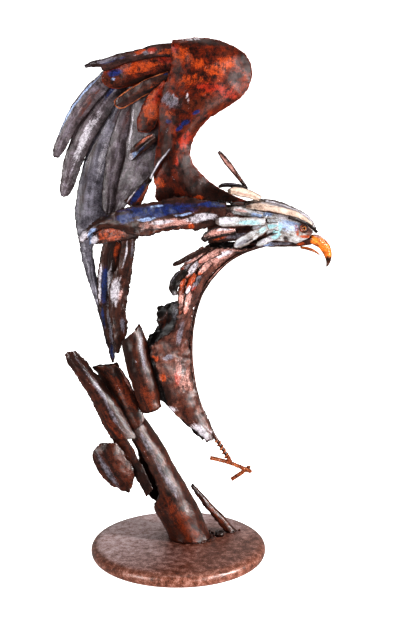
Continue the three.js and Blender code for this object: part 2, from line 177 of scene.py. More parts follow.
def set_values(shader, values):
    """Sets plain values on the shader."""
    for key, value in values.items():
        shader.inputs[key].default_value = value


def pits_in(tree, place, size_mm, threshold):
    """Small pits in the surface: 1 in a pit and 0 outside."""
    above = maths(tree, "SUBTRACT", grain(tree, place, size_mm, 2), threshold)
    return maths(tree, "MULTIPLY", above, 14, clamp=True)


print("helpers ready:", rgb("#ffffff"))

# %% [markdown]
# ## Painted steel
# Torch-cut steel sheet, brushed with thin stains and washes while it is still bright in places, then sealed
# with gloss lacquer. The eye reads three things: broken patches of colour with ragged brush edges, streaks
# that follow each feather, and soft highlights from the lacquer that break up over the hammer marks.
#
# The pigments are carried by the mesh as soft hills, one number for each pigment at each point. The material
# adds noise to the hill and then cuts it off, so that the soft hill turns into a ragged brush mark.

# %% The pigments, and how one is laid over another
PIGMENTS = {
    "dark": ("#180803", "#2e1208"),
    "brown": ("#3a190c", "#5f2a14"),
    "orange": ("#7a2c0b", "#b04c12"),
    "rust": ("#4a1c08", "#7e3512"),
    "red": ("#6e1a09", "#9c2f14"),
    "blue": ("#081634", "#173272"),
    "pale_blue": ("#5f7298", "#a3b5d3"),
    "pink": ("#84564c", "#c49a92"),
    "white": ("#8e868e", "#d0cbd0"),
    "grey": ("#4b454c", "#7b7680"),
    "cyan": ("#7aa4ac", "#a5cbcd"),
}
EDGE_BROWN = "#22100b"
BRUSH_CUT, BRUSH_SHARPNESS, COVERING_POWER = 0.45, 2.2, 0.92


def lay_pigments(tree, colour, ragged, fine):
    """Lays each pigment over the colour where its hill and the noise together are high enough."""
    for pigment, (thin, thick) in PIGMENTS.items():
        hill = maths(tree, "ADD", attribute(tree, pigment), ragged)
        cover = maths(tree, "MULTIPLY", maths(tree, "SUBTRACT", hill, BRUSH_CUT), BRUSH_SHARPNESS, clamp=True)
        tone = ramp(tree, fine, [(0.36, thin), (0.64, thick)])
        colour = mix(tree, maths(tree, "MULTIPLY", cover, COVERING_POWER), colour, tone)
    return colour


print(len(PIGMENTS), "pigments")

# %% The painted steel material
FINE_MM, BLOTCH_MM, STREAK_MM, SOOT_MM, PIT_MM = 1.5, 12, 4.0, 7, 2.1
STROKE_STRETCH = 0.12
RAGGEDNESS = 3.6
CUT_EDGE_MM = 1.5


def painted_steel(
    name, ground, streaks, metallic=0.1, gloss=0.7, bump=0.5, fold_shade=0.0, speckle=0.5, mottle=0.8,
    edge=EDGE_BROWN,
):
    """Stained, painted and lacquered steel.

    ground holds the hex colours of the bare stain from dark to light, and streaks is the share of the brushed
    streaks in it. metallic is how bare the steel is and gloss is how thick the lacquer is. The fold setting
    is
    painted shade: how much lighter the middle of a feather is painted than its sides, as light falls on a
    fold.
    speckle is the strength of the small dark pits, mottle that of the soot rubbed over everything, and edge
    is the colour of the cut edges.
    """
    material, tree, shader = new_material(name)
    place = node(tree, "TexCoord").outputs["Object"]
    along = maths(tree, "MULTIPLY", attribute(tree, "along"), STROKE_STRETCH)
    stroke = node(tree, "CombineXYZ", {0: along, 1: attribute(tree, "across_m"), 2: 0.0}).outputs[0]
    fine = grain(tree, place, FINE_MM, 4, 0.7)
    blotch = grain(tree, place, BLOTCH_MM, 6, 0.68)
    streak = grain(tree, stroke, STREAK_MM, 4, 0.6)
    shade = mix_numbers(tree, streaks, blotch, streak)
    shade = mix_numbers(tree, 0.25, shade, fine)
    # Painted shade: the sides of each feather are painted darker and its middle lighter, as light falls on a
    # folded feather.
    side = maths(tree, "ABSOLUTE", attribute(tree, "across"))
    folded = maths(tree, "MULTIPLY", maths(tree, "SUBTRACT", side, 0.5), fold_shade)
    shade = maths(tree, "SUBTRACT", shade, folded)
    positions = np.linspace(0.38, 0.62, len(ground))
    colour = ramp(tree, shade, list(zip(positions, ground)))
    ragged = mix_numbers(tree, 0.5, mix_numbers(tree, 0.4, blotch, fine), streak)
    ragged = maths(tree, "MULTIPLY", maths(tree, "SUBTRACT", ragged, 0.5), RAGGEDNESS)
    colour = lay_pigments(tree, colour, ragged, fine)
    soot = ramp(tree, grain(tree, place, SOOT_MM, 5, 0.7), [(0.36, "#5d5350"), (0.52, "#ffffff")])
    colour = mix(tree, mottle, colour, soot, "MULTIPLY")
    pits = pits_in(tree, place, PIT_MM, 0.64)
    colour = mix(tree, maths(tree, "MULTIPLY", pits, speckle), colour, rgb(EDGE_BROWN))
    near_rim = maths(tree, "SUBTRACT", CUT_EDGE_MM, attribute(tree, "rim_mm"))
    near_rim = maths(tree, "MULTIPLY", near_rim, 1.1, clamp=True)
    colour = mix(tree, maths(tree, "MULTIPLY", near_rim, 0.8), colour, rgb(edge))
    tree.links.new(colour, shader.inputs["Base Color"])
    limits = {"From Min": 0.3, "From Max": 0.7, "To Min": 0.36, "To Max": 0.62}
    rough = node(tree, "MapRange", {"Value": fine, **limits})
    tree.links.new(rough.outputs[0], shader.inputs["Roughness"])
    set_values(
        shader,
        {"Metallic": metallic, "Coat Weight": gloss, "Coat Roughness": 0.14, "Specular IOR Level": 0.2},
    )
    relief = maths(tree, "ADD", mix_numbers(tree, streaks, fine, streak), maths(tree, "MULTIPLY", pits, -0.5))
    height = node(tree, "Bump", {"Height": relief, "Strength": bump, "Distance": 0.8 * MM})
    tree.links.new(height.outputs[0], shader.inputs["Normal"])
    lumps = maths(tree, "ADD", blotch, maths(tree, "MULTIPLY", fine, 0.25))
    lacquer = node(tree, "Bump", {"Height": lumps, "Strength": 0.5, "Distance": 1.6 * MM})
    tree.links.new(lacquer.outputs[0], shader.inputs["Coat Normal"])
    return material


MATERIALS = {
    "flame": painted_steel(
        "flame_stained_sheet", ("#1f0902", "#3f1303", "#642004", "#823107"), streaks=0.2, metallic=0.15,
        gloss=0.3, edge="#6e2a14", mottle=1.0,
    ),
    "body": painted_steel(
        "washed_body_sheet", ("#251009", "#42221a", "#5e372b", "#744c40"), streaks=0.3, bump=0.8,
    ),
    "silver": painted_steel(
        "ground_silver_sheet", ("#312d33", "#524d55", "#746f78", "#98939e"), metallic=0.25, streaks=0.35,
        fold_shade=0.14, speckle=0.6, mottle=0.5,
    ),
    "mauve": painted_steel(
        "mauve_stained_sheet", ("#261c1d", "#43383b", "#5c5155", "#7b717b"), metallic=0.2, streaks=0.4,
        fold_shade=0.1, speckle=0.6, mottle=0.5,
    ),
    "limb": painted_steel("washed_limb_sheet", ("#1f0f0b", "#3a1d14", "#532d1f"), streaks=0.4, bump=0.7),
    "plume": painted_steel(
        "whitewashed_feather_sheet", ("#5a4c48", "#89827f", "#a8a7a9", "#bcbfc4"), streaks=0.4, mottle=0.5,
        edge="#55453f",
    ),
    "cream": painted_steel(
        "cream_crown_sheet", ("#7a5a4c", "#b39a8b", "#cbb7a8", "#d6c8bb"), streaks=0.5, mottle=0.4,
    ),
    "black": painted_steel("scorched_sheet", ("#0a0605", "#170d0a", "#2d1a13"), streaks=0.2),
    "plum": painted_steel("plum_stained_sheet", ("#1d0e0a", "#38201c", "#542a20"), streaks=0.5),
    "stump": painted_steel(
        "torched_pipe", ("#150804", "#30140a", "#49200f", "#5e2c16"), streaks=0.4, bump=0.6, gloss=0.8,
    ),
    "beak": painted_steel(
        "beak_enamel", ("#8a3f10", "#c4681f", "#da8a38"), streaks=0.3, speckle=0.15, bump=0.3,
    ),
    "rod": painted_steel("rusted_rod", ("#5a2d18", "#8a4a2c", "#b07047"), streaks=0.1, gloss=0.3),
}
print("painted steel:", len(MATERIALS), "grounds")

# %% [markdown]
# ## From plain sheet to torn and hammered sheet
# The construction model has each sheet as a plain closed shell of a few dozen facets. A copy is merged,
# turned back into quads, creased along its cut edges and subdivided, which gives a smooth sheet with crisp
# edges. Then it is dented as a hammer would, and its edges are made to wander as a torch cut does.

# %% Working on one object at a time
SMOOTH_ANGLE = math.radians(50)


def work_on(piece):
    """Makes the piece the only selected object and the active one."""
    bpy.ops.object.select_all(action="DESELECT")
    piece.select_set(True)
    bpy.context.view_layer.objects.active = piece


def finish_modifier(piece, kind, **settings):
    """Adds a modifier with these settings and applies it."""
    modifier = piece.modifiers.new(kind.title(), kind)
    for key, value in settings.items():
        setattr(modifier, key, value)
    work_on(piece)
    bpy.ops.object.modifier_apply(modifier=modifier.name)


def points_of(piece):
    """The piece's points in metres, one row each."""
    co = np.empty(len(piece.data.vertices) * 3)
    piece.data.vertices.foreach_get("co", co)
    return co.reshape(-1, 3)


def set_points(piece, points):
    """Moves the piece's points to these places."""
    piece.data.vertices.foreach_set("co", points.ravel())
    piece.data.update()


def set_number(piece, name, values):
    """Stores one number at each point of the mesh, for the material to read."""
    made = piece.data.attributes.get(name) or piece.data.attributes.new(name, "FLOAT", "POINT")
    made.data.foreach_set("value", np.asarray(values, np.float32))


def number_of(piece, name):
    """The number stored at each point under this name."""
    values = np.empty(len(piece.data.vertices), np.float32)
    piece.data.attributes[name].data.foreach_get("value", values)
    return values


print("smooth angle:", round(math.degrees(SMOOTH_ANGLE)), "degrees")


def sheet_from(node_name, level, cut_angle=50):
    """A subdivided copy of a sheet of the frame, which stands for it and remembers its cut edges."""
    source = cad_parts[node_name]
    piece = bpy.data.objects.new(node_name + "_metal", source.data.copy())
    scene.collection.objects.link(piece)
    piece.data.materials.clear()
    work_on(piece)
    bpy.ops.object.mode_set(mode="EDIT")
    bpy.ops.mesh.select_all(action="SELECT")
    bpy.ops.mesh.remove_doubles(threshold=0.02 * MM)
    bpy.ops.mesh.tris_convert_to_quads(face_threshold=math.pi, shape_threshold=math.pi)
    bpy.ops.mesh.select_all(action="DESELECT")
    bpy.ops.mesh.edges_select_sharp(sharpness=math.radians(cut_angle))
    bpy.ops.transform.edge_crease(value=1)
    bpy.ops.object.mode_set(mode="OBJECT")
    rim = piece.vertex_groups.new(name="rim")
    rim.add([v.index for v in piece.data.vertices if v.select], 1.0, "REPLACE")
    finish_modifier(piece, "SUBSURF", levels=level, render_levels=level)
    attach(piece, "root")
    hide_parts(node_name)
    return piece


def measure_rim(piece):
    """Stores each point's distance in mm to the nearest cut edge, and returns it."""
    points = points_of(piece)
    mark = piece.vertex_groups["rim"].index
    rim = [v.index for v in piece.data.vertices if any(g.group == mark and g.weight > 0.99 for g in v.groups)]
    tree = kdtree.KDTree(max(len(rim), 1))
    for i in rim:
        tree.insert(points[i], i)
    tree.balance()
    distance = np.array([tree.find(p)[2] for p in points]) / MM if rim else np.full(len(points), 50.0)
    set_number(piece, "rim_mm", distance)
    return distance


SLICES = 24
FAR_FROM_RIM_MM = 9.0


def measure_length(piece):
    """Stores where each point lies along the piece, to the left and down, and across it.

    The middle line is a smooth curve through the middles of the slices that the piece is cut into.
    """
    points = points_of(piece)
    flat = points[:, [0, 2]]
    centre = flat.mean(0)
    long_way = np.linalg.svd(flat - centre, full_matrices=False)[2][0]
    if long_way.sum() > 0:
        long_way = -long_way
    p = (flat - centre) @ long_way
    q = (flat - centre) @ np.array([-long_way[1], long_way[0]])
    slices = np.clip(((p - p.min()) / np.ptp(p) * SLICES).astype(int), 0, SLICES - 1)
    used = [slices == one for one in range(SLICES) if (slices == one).any()]
    centres = [p[b].mean() for b in used]
    middles = [(q[b].max() + q[b].min()) / 2 for b in used]
    halves = [np.ptp(q[b]) / 2 for b in used]
    offset = q - np.polyval(np.polyfit(centres, middles, 4), p)
    half = np.maximum(np.interp(p, centres, halves), 0.5 * MM)
    set_number(piece, "along", p - p.min())
    set_number(piece, "across_m", offset)
    set_number(piece, "across", np.clip(offset / half, -1.2, 1.2))
    return Vector((-long_way[1], 0, long_way[0]))


def set_place(piece, rim_mm, along_mm, across_mm, across):
    """Stores where each point of a newly made sheet lies, in place of measuring it."""
    set_number(piece, "rim_mm", rim_mm)
    set_number(piece, "along", along_mm * MM)
    set_number(piece, "across_m", across_mm * MM)
    set_number(piece, "across", across)


def measure_round(piece):
    """Measures a wire, bead or lid, which has no cut edge."""
    measure_length(piece)
    set_number(piece, "rim_mm", np.full(len(piece.data.vertices), FAR_FROM_RIM_MM))


# %% [markdown]
# ## Hammer and torch
# The sculptor dents the sheet over a stake, which leaves shallow hollows of one or two centimetres, and cuts
# it freehand, which leaves an edge that wanders and nicks. Feathers also get a raised quill down the middle.

# %% Dents, torn edges and quills
QUILL_WIDTH_MM = 1.3
TORN_REACH_MM = 2.4


def wander(points, size_mm, seed):
    """A smooth random vector at each point, which changes over about size_mm."""
    shift = Vector((seed * 1.7, seed * 2.3, seed * 3.1))
    return np.array([noise.noise_vector(Vector(p) / (size_mm * MM) + shift) for p in points])


def hammer(piece, seed, dents=((26, 1.6), (9, 0.6)), torn=0.9, quill=0.0):
    """Dents the sheet, both faces together, makes its cut edges wander by torn mm, and raises a quill."""
    points = points_of(piece)
    distance = measure_rim(piece)
    moved = points.copy()
    for size_mm, depth_mm in dents:
        moved += wander(points, size_mm, seed) * depth_mm * MM
    weight = np.exp(-distance / TORN_REACH_MM)[:, None]
    moved += wander(points, 3.6, seed + 5) * weight * torn * MM
    moved += wander(points, 1.6, seed + 7) * weight * torn * 0.6 * MM
    if quill:
        side = np.sign(points[:, 1].mean()) or 1.0
        ridge = np.exp(-((number_of(piece, "across_m") / (QUILL_WIDTH_MM * MM)) ** 2))
        moved[:, 1] += side * quill * MM * ridge
    set_points(piece, moved)


# %% [markdown]
# ## The brush
# A touch is one lay of the brush: an oval hill of one pigment. A touch that follows its feather is placed by
# how far along it lies, from the root at 0 to the tip at 1, and how far across, from one edge at -1 to the
# other at 1. A patch on a broad sheet is placed in millimetres instead, by how far out and how high it is.

# %% Touches and patches
ROOT_LENGTH_MM = 14


def hill_of(u, v):
    """A hill with a flat top of 1 in the middle, which falls to 0 beyond the oval's edge."""
    return np.clip(1.6 - np.hypot(u, v), 0, 1)


def keep_highest(piece, pigment, hill):
    """Adds a hill of pigment to the piece. Where hills of one pigment meet, the higher one counts."""
    known = pigment in piece.data.attributes
    set_number(piece, pigment, np.maximum(number_of(piece, pigment), hill) if known else hill)


def touch(piece, pigment, along, across, length, width, amount=1.0):
    """A brush touch that follows the piece. length and width are in mm."""
    p, q = number_of(piece, "along"), number_of(piece, "across_m")
    half = np.abs(q[np.abs(number_of(piece, "across")) > 0.9]).mean()
    u = (p - along * p.max()) / (length * MM / 2)
    v = (q - across * half) / (width * MM / 2)
    keep_highest(piece, pigment, hill_of(u, v) * amount)


def patch(piece, pigment, x, z, length, width, angle=0, amount=1.0):
    """A patch of pigment on a broad sheet, in mm, with its long way turned up from +X by angle degrees."""
    points = points_of(piece) / MM
    turn = math.radians(angle)
    dx, dz = points[:, 0] - x, points[:, 2] - z
    u = (dx * math.cos(turn) + dz * math.sin(turn)) / (length / 2)
    v = (-dx * math.sin(turn) + dz * math.cos(turn)) / (width / 2)
    keep_highest(piece, pigment, hill_of(u, v) * amount)


def tuck_root(piece, reach):
    """Draws the root end of a feather out by reach mm, so that it runs under the sheet it is welded to."""
    points = points_of(piece)
    along = number_of(piece, "along") / MM
    points[:, 0] += np.clip(1 - along / ROOT_LENGTH_MM, 0, 1) * reach * MM
    set_points(piece, points)


def round_tip(piece, sideways, reach):
    """Draws the last reach mm of a feather in towards its middle line, so that its tip is round."""
    along, across = number_of(piece, "along"), number_of(piece, "across_m")
    inward = np.clip(1 - (along.max() - along) / (reach * MM), 0, 1)
    share = np.maximum(np.sqrt(1 - inward**2), 0.15)
    set_points(piece, points_of(piece) + np.outer(across * (share - 1), sideways))
    set_number(piece, "across_m", across * share)


def make_sheet(node_name, material, level, seed, touches=(), patches=(), tuck=0, tip=0, **hammering):
    """One finished sheet: the subdivided copy, tucked and rounded, then painted, dented and smoothed."""
    piece = sheet_from(node_name, level)
    sideways = measure_length(piece)
    if tuck:
        tuck_root(piece, tuck)
    if tip:
        round_tip(piece, sideways, tip)
    for each in touches:
        touch(piece, *each)
    for each in patches:
        patch(piece, *each)
    hammer(piece, seed, **hammering)
    piece.data.materials.append(MATERIALS[material])
    work_on(piece)
    bpy.ops.object.shade_smooth_by_angle(angle=SMOOTH_ANGLE)
    print(" ", node_name, len(piece.data.polygons), "faces")


# %% [markdown]
# ## The shoulder of the wing
# One big sheet, dished over a stump of wood and cut with a sweeping front edge. The stain is orange and red
# over brown, darkest round the top and down the narrow stem, with blue flicks and a grey bare patch by the
# feathers.

# %% Shoulder
make_sheet("wing_shoulder", "flame", 3, seed=3, dents=((40, 1.6), (14, 0.8), (6, 0.35)), patches=[
    ("orange", 7, 705, 26, 20), ("orange", 29, 693, 18, 13), ("orange", 52, 685, 26, 14, -10),
    ("orange", 66, 694, 24, 16), ("orange", -10, 628, 12, 8), ("orange", -26, 536, 20, 14),
    ("orange", 30, 516, 13, 8), ("orange", 20, 672, 40, 14, 10, 0.8), ("dark", 42, 720, 60, 9, -4, 0.9),
    ("dark", 93, 694, 40, 12, -62), ("dark", 78, 677, 20, 11), ("brown", 36, 640, 56, 20, 0, 0.9),
    ("dark", -14, 575, 80, 20, 90, 0.85), ("dark", 16, 545, 70, 26, -70, 0.95),
    ("dark", 45, 520, 100, 30, -20, 1.0), ("brown", 0, 690, 14, 30, 0, 0.6),
    ("dark", -14, 520, 30, 30, 0, 0.9), ("brown", 62, 706, 30, 9, 20, 0.7),
    ("brown", 20, 610, 30, 14, 20, 0.8), ("brown", -12, 690, 6, 40, 0, 0.8), ("red", 45, 662, 44, 10),
    ("red", 68, 654, 26, 14, -20), ("red", 10, 592, 22, 15, 60), ("red", 0, 565, 14, 5, 90),
    ("red", -2, 712, 12, 10), ("grey", -8, 645, 26, 17, -30, 0.95), ("white", -4, 648, 12, 8, -30, 0.8),
    ("white", 14, 650, 14, 5, 90, 0.7), ("blue", 26, 630, 11, 6, 20), ("blue", 12, 616, 13, 7, 30),
    # The pink streak down the right edge of the stem is a painted highlight.
    ("blue", 4, 609, 11, 5, 30), ("blue", -11, 618, 8, 6), ("pink", 25, 588, 38, 5, 72, 0.85),
    ("white", 20, 724, 24, 3, 0, 0.8)])

# %% [markdown]
# ## The coverts and the long feathers of the wing
# Feathers cut from thinner sheet, ground bright and rubbed with a violet grey stain. They are tucked behind
# the back edge of the shoulder, the orange ones on top and the long silver ones under them.

# %% Coverts
make_sheet("wing_top_feather", "plum", 2, seed=4, tuck=7, touches=[
    ("grey", 0.96, 0, 12, 8), ("grey", 0.78, -0.5, 52, 5, 0.9), ("blue", 0.66, -0.2, 40, 4, 0.8),
    ("orange", 0.34, -0.5, 13, 6), ("grey", 0.3, 0, 9, 6), ("red", 0.22, -0.2, 16, 8),
    ("pink", 0.23, 0.2, 10, 4, 0.8), ("orange", 0.08, 0.4, 22, 8, 0.9)])
make_sheet("wing_upper_covert", "flame", 3, seed=5, tip=16, tuck=7, touches=[
    ("brown", 0.86, 0.2, 28, 18), ("blue", 0.78, -0.35, 20, 9), ("pale_blue", 0.84, 0.1, 7, 5),
    ("orange", 0.4, -0.2, 56, 14, 0.9), ("red", 0.08, -0.5, 16, 9), ("dark", 0.4, 0.85, 66, 7),
    ("dark", 0.6, 0.1, 14, 8, 0.8)])
make_sheet("wing_rimmed_covert", "plum", 3, seed=6, tip=7, tuck=6, torn=0.3, touches=[
    ("brown", 0.4, 0, 44, 7, 0.85), ("blue", 0.06, -0.6, 9, 4), ("orange", 0.3, 0.2, 20, 4, 0.7)])
make_sheet("wing_lower_covert", "flame", 3, seed=7, tip=16, torn=1.4, touches=[
    ("orange", 0.4, 0, 64, 24), ("red", 0.25, 0.2, 30, 14, 0.9), ("dark", 0.5, 1.0, 70, 4),
    ("dark", 0.75, -0.6, 20, 5)])
make_sheet("wing_small_feather", "limb", 3, seed=8, tip=8, quill=0.6, touches=[
    ("orange", 0.3, -0.8, 28, 5), ("dark", 0.45, 0.1, 20, 9), ("blue", 0.5, 0.3, 16, 5, 0.8),
    # The white and pale blue at the tip are a painted highlight.
    ("white", 0.93, 0, 12, 8), ("pale_blue", 0.8, 0.2, 14, 6)])

# %% Long feathers
make_sheet("wing_primary_1", "mauve", 3, seed=9, tip=9, quill=0.7, touches=[
    ("pale_blue", 0.5, -0.85, 130, 3, 0.8), ("brown", 0.08, 0, 28, 20, 0.9), ("brown", 0.4, 0.3, 60, 9, 0.7)])
make_sheet("wing_primary_2", "mauve", 3, seed=10, tip=8, quill=0.7, touches=[
    ("white", 0.55, 0.15, 84, 11, 0.85), ("blue", 0.15, -0.2, 34, 9, 0.75), ("white", 0.1, 0.3, 7, 5),
    ("dark", 0.5, -0.75, 90, 5, 0.6)])
# The dark strip down the left side of this feather is painted shade, where the edge of wing_primary_2 shades
# it.
make_sheet("wing_primary_3", "silver", 3, seed=11, quill=0.7, touches=[
    ("dark", 0.35, -0.7, 150, 9, 0.75), ("white", 0.3, 0.25, 70, 12, 0.7), ("brown", 0.16, 0.1, 26, 9, 0.7)])
make_sheet("wing_primary_4", "mauve", 3, seed=12, tip=8, quill=0.6, touches=[
    ("dark", 0.6, 0.9, 90, 5, 0.7), ("brown", 0.3, 0, 60, 10, 0.6)])
make_sheet("wing_primary_5", "mauve", 3, seed=13, quill=0.5, touches=[
    ("white", 0.4, -0.95, 60, 3, 0.9), ("brown", 0.2, 0.5, 50, 18, 0.9), ("orange", 0.2, 0.7, 26, 7, 0.7)])
make_sheet("wing_brace_feather", "silver", 3, seed=14, torn=0.3, touches=[
    ("white", 0.5, -0.2, 40, 3), ("blue", 0.5, 0.6, 16, 2, 0.8)])
make_sheet("wing_brace_strip", "limb", 3, seed=15, torn=1.0, touches=[
    ("white", 0.5, -0.95, 46, 3), ("blue", 0.55, -0.2, 30, 9), ("orange", 0.45, 0.7, 36, 7, 0.85)])

# %% [markdown]
# ## Flanks, neck and breast edge
# Two curved sheets that meet at a rod along the breast. The near one is washed with pink and white over rust
# and ends in a torn edge. The far one shows its scorched black inside.

# %% Flanks and neck
make_sheet("flank_near", "body", 3, seed=16, torn=2.4, dents=((26, 2.2), (10, 1.2), (5, 0.4)), patches=[
    ("pink", 42, 434, 84, 22, 18, 0.9), ("white", 18, 426, 22, 9, 35), ("white", 62, 441, 26, 7, 18),
    ("orange", 6, 398, 66, 12, 86), ("red", 8, 418, 18, 9, 60, 0.9), ("pink", 5, 380, 30, 12, 80, 0.8),
    ("pink", 6, 270, 44, 16, -82, 0.7), ("red", 0, 270, 22, 8, 85), ("pink", 13, 266, 40, 6, -80, 0.8),
    ("grey", -12, 298, 14, 9), ("white", -9, 224, 15, 9, -20), ("orange", -31, 298, 11, 10),
    ("dark", -15, 248, 34, 13, -80, 0.9), ("white", 32, 188, 34, 18, -48, 0.9),
    ("brown", 12, 226, 50, 16, -66, 0.9), ("dark", -4, 345, 30, 10, 80, 0.8),
    ("grey", 4, 330, 40, 10, 84, 0.8), ("orange", -18, 270, 14, 12, 0, 0.8)])
make_sheet("flank_far", "black", 3, seed=17, torn=3.0, dents=((26, 2.0), (9, 1.0)), patches=[
    ("grey", -3, 352, 26, 7, 82, 0.8), ("brown", -20, 335, 30, 14, 60, 0.8),
    ("brown", 20, 240, 90, 26, -60, 0.7)])
make_sheet("breast_edge_rod", "limb", 1, seed=18, torn=0, dents=((12, 0.5), (5, 0.25)), touches=[
    ("pink", 0.35, -0.3, 200, 3, 0.7), ("brown", 0.7, 0.3, 200, 4, 0.9)])
NECK = [
    ("pink", 62, 492, 40, 10, 8, 0.8), ("grey", 84, 465, 40, 8, 8, 0.9),
    ("pale_blue", 98, 462, 24, 6, 6, 0.8), ("brown", 60, 474, 40, 10, 0, 0.9),
    ("orange", 60, 463, 24, 5, 10, 0.8),
]
make_sheet("neck_near", "limb", 3, seed=19, tuck=9, patches=NECK)
make_sheet("neck_far", "limb", 3, seed=20, tuck=9, patches=NECK)

# %% [markdown]
# ## The limb along the back
# A folded strip that runs from the head back to the bent wrist, with the two tail plates hanging under it.
# The upper half is washed with ultramarine, the lower half with pink and white, and its lower edge is torn.

# %% Back strip, wrist and tail
make_sheet("back_strip", "limb", 3, seed=21, torn=1.8, dents=((26, 1.8), (8, 0.9)), touches=[
    ("blue", 0.44, -0.5, 104, 15), ("blue", 0.1, -0.5, 34, 9), ("blue", 0.66, -0.2, 26, 12),
    ("dark", 0.8, -0.5, 34, 8), ("dark", 0.22, -0.9, 18, 6), ("pink", 0.42, 0.5, 64, 13),
    ("white", 0.44, 0.35, 30, 6), ("white", 0.17, 0.4, 40, 10), ("orange", 0.25, 0.85, 7, 12),
    ("brown", 0.4, 1.05, 70, 7), ("pale_blue", 0.52, 0.0, 22, 5), ("pale_blue", 0.44, -0.85, 16, 4),
    ("pale_blue", 0.3, 0.0, 26, 4, 0.8), ("white", 0.97, 0, 18, 16), ("pale_blue", 0.9, 0.3, 14, 10)])
make_sheet("wrist_plate", "limb", 3, seed=22, touches=[
    ("orange", 0.55, 0.2, 48, 20, 0.85), ("pale_blue", 0.96, 0, 16, 26), ("white", 0.88, 0.2, 14, 12),
    ("grey", 0.08, 0, 18, 20, 0.8)])
make_sheet("tail_left_plate", "limb", 3, seed=23, torn=1.4, quill=0.6, touches=[
    ("dark", 0.15, 0.2, 50, 16), ("orange", 0.08, 0.6, 34, 7, 0.9), ("blue", 0.36, -0.4, 46, 10),
    ("white", 0.36, -0.9, 46, 4), ("white", 0.5, 0.25, 96, 8, 0.95), ("grey", 0.72, 0.2, 60, 9),
    ("blue", 0.9, 0, 22, 7), ("blue", 0.62, -0.6, 26, 5)])
make_sheet("tail_right_plate", "limb", 3, seed=24, torn=1.8, touches=[
    ("white", 0.15, -0.2, 34, 3, 0.9), ("white", 0.47, -0.35, 34, 13), ("pink", 0.5, 0.2, 18, 8, 0.8),
    ("grey", 0.75, 0.5, 18, 6), ("grey", 0.12, 0.5, 26, 4, 0.8)])

# %% [markdown]
# ## The head
# Two domed shells with crown plates, brow ridges and overlapping feathers. They are washed with white and
# pale blue, so that the bare steel shows only at the cut edges. The bill is enamelled orange, with a black
# hook.

# %% Head shells, crown and feathers
HEAD = [
    ("cyan", 124, 493, 12, 8), ("cyan", 135, 474, 12, 18, 0, 0.95), ("pale_blue", 150, 480, 34, 18, 0, 0.7),
    ("orange", 161, 474, 5, 20, 14), ("dark", 147, 461, 7, 12, 20), ("dark", 123, 468, 20, 3, 25),
    ("brown", 130, 455, 50, 7, 0), ("brown", 174, 478, 18, 20, 0), ("dark", 172, 484, 28, 6, -36, 1.1),
    ("orange", 172, 464, 16, 5, -8), ("brown", 178, 470, 10, 16, 0, 0.9), ("white", 148, 492, 34, 8, -12),
    ("grey", 112, 458, 20, 8), ("white", 128, 508, 44, 14, -6, 1.1), ("white", 156, 500, 40, 14, -18, 1.1),
    ("white", 177, 486, 26, 10, -40),
]
for side, seed in (("near", 25), ("far", 35)):
    make_sheet("head_" + side, "plume", 3, seed=seed, patches=HEAD, dents=((20, 0.9), (7, 0.45)))
    make_sheet("crown_plate_" + side, "cream", 3, seed=seed + 1, dents=((20, 0.6), (7, 0.3)), touches=[
        ("grey", 0.5, -0.9, 90, 3, 0.8), ("brown", 0.6, 0.9, 30, 3), ("brown", 0.95, 0, 10, 4, 0.8)])
    make_sheet("brow_" + side, "black", 2, seed=seed + 2, torn=0.3, dents=((8, 0.3),))
    make_sheet("nape_feather_" + side, "plume", 3, seed=seed + 3, tip=6, quill=0.5, touches=[
        ("pale_blue", 0.2, 0.2, 18, 7), ("pink", 0.7, -0.2, 18, 5, 0.7)])
    make_sheet("neck_long_feather_" + side, "plume", 3, seed=seed + 4, tip=7, quill=0.5, touches=[
        ("cyan", 0.35, 0.2, 34, 6, 0.9), ("white", 0.8, -0.2, 20, 6)])
    make_sheet("neck_low_feather_" + side, "plume", 3, seed=seed + 5, tip=7, quill=0.5, touches=[
        ("dark", 0.6, 0.5, 12, 3), ("cyan", 0.2, 0.1, 16, 6, 0.8), ("grey", 0.75, 0.2, 18, 5, 0.8)])
make_sheet("crest_pale_feather", "cream", 3, seed=45, tip=7, torn=0.4, touches=[
    ("pink", 0.5, 0.3, 26, 3, 0.8)])
make_sheet("crest_dark_feather", "black", 3, seed=46, torn=0.4, touches=[("grey", 0.6, -0.6, 24, 2, 0.8)])
make_sheet("crest_spike", "body", 3, seed=47, torn=0.3, dents=((12, 0.5),), touches=[
    ("pink", 0.35, 0, 34, 4, 0.9), ("dark", 0.05, 0, 12, 6)])
make_sheet("neck_pink_feather", "black", 3, seed=48, tip=8, quill=0.5, touches=[
    ("pink", 0.45, -0.15, 40, 8), ("white", 0.35, -0.5, 20, 3), ("orange", 0.08, -0.9, 18, 5)])
make_sheet("flank_dark_feather", "limb", 3, seed=49, tip=3, torn=0.5, touches=[
    ("pink", 0.4, -0.8, 36, 2, 0.8)])
make_sheet("flank_oval_feather", "black", 3, seed=50, tip=6, torn=0.4, touches=[
    ("white", 0.93, 0.2, 9, 6), ("grey", 0.4, -0.7, 22, 2, 0.8)])

# %% [markdown]
# ## The throat
# A narrow trough of sheet closes the head from below. It runs from the top of the flank, under the two
# cheeks, to the root of the bill. It is a flat grid, bent by its keel, its half width and the rise of its
# sides.

# %% Throat
THROAT_START, THROAT_LENGTH = 96, 87
THROAT = [
    ("pale_blue", 122, 453, 26, 7, 4, 0.75), ("blue", 118, 450, 22, 4, 4, 0.7), ("grey", 140, 454, 30, 5, 0),
    ("dark", 157, 455, 14, 7, 0), ("orange", 168, 453, 14, 4, 10, 0.8), ("dark", 104, 452, 16, 6, 10, 0.7),
]


